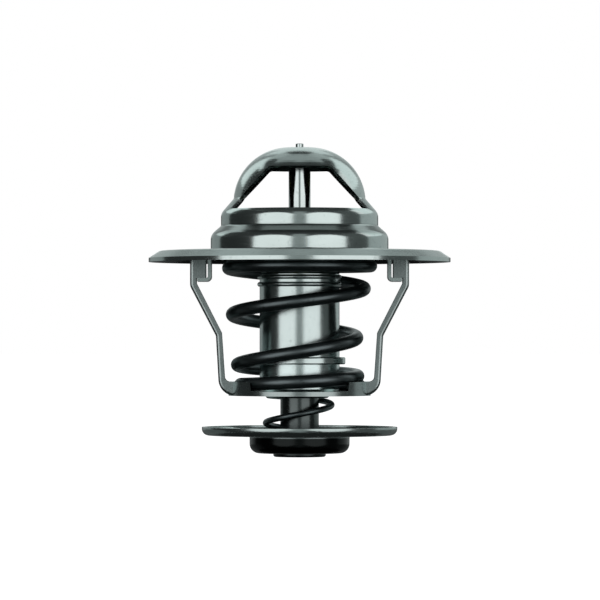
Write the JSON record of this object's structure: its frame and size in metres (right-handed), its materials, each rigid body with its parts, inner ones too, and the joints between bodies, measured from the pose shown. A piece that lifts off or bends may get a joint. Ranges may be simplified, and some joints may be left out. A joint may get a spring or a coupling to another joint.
{
  "type": "engine thermostat",
  "caption": "Wax-element engine thermostat with a round flange, bridge strap, hooked lower bracket, conical main spring and a sprung bypass disc.",
  "frame": {"origin": "centre of the flange at the lower edge of its rim", "axes": "+Z along the axis towards the crown, X through the two bracket legs and along the bridge strap"},
  "size_m": [0.054, 0.054, 0.0564],
  "materials": {
    "bright_sheet": "satin",
    "polished_pin": "polished",
    "dark_spring_wire": "oiled dark wire",
    "cup_steel": "bright drawn",
    "wax": "waxy with copper powder",
    "black_rubber": "matt",
    "brass": "turned",
    "stem_steel": "turned",
    "dark_steel": "dark pressed"
  },
  "bodies": {
    "frame": {"upper_frame": "bright_sheet", "lug_ring": "bright_sheet", "lower_bracket": "bright_sheet", "piston": "polished_pin", "main_spring": "dark_spring_wire"},
    "element": {"wax_cup": "cup_steel", "wax_charge": "wax", "rubber_sleeve": "black_rubber", "anti_extrusion_washer": "polished_pin", "piston_guide": "brass", "guide_seal": "black_rubber", "main_valve_plate": "bright_sheet", "valve_seal_ring": "black_rubber", "valve_clip": "polished_pin", "bypass_stem": "stem_steel", "stem_retainer": "dark_steel", "bypass_spring": "dark_spring_wire"},
    "bypass": {"bypass_disc": "dark_steel"}
  },
  "joints": [
    {"name": "valve_lift", "type": "slide", "parent": "frame", "child": "element", "axis": [0, 0, -1], "range_m": [0, 0.008], "stiffness_N_per_m": 400, "deforming": ["main_spring"]},
    {"name": "bypass_slide", "type": "slide", "parent": "element", "child": "bypass", "axis": [0, 0, 1], "range_m": [0, 0.004], "stiffness_N_per_m": 60, "deforming": ["bypass_spring"]}
  ]
}
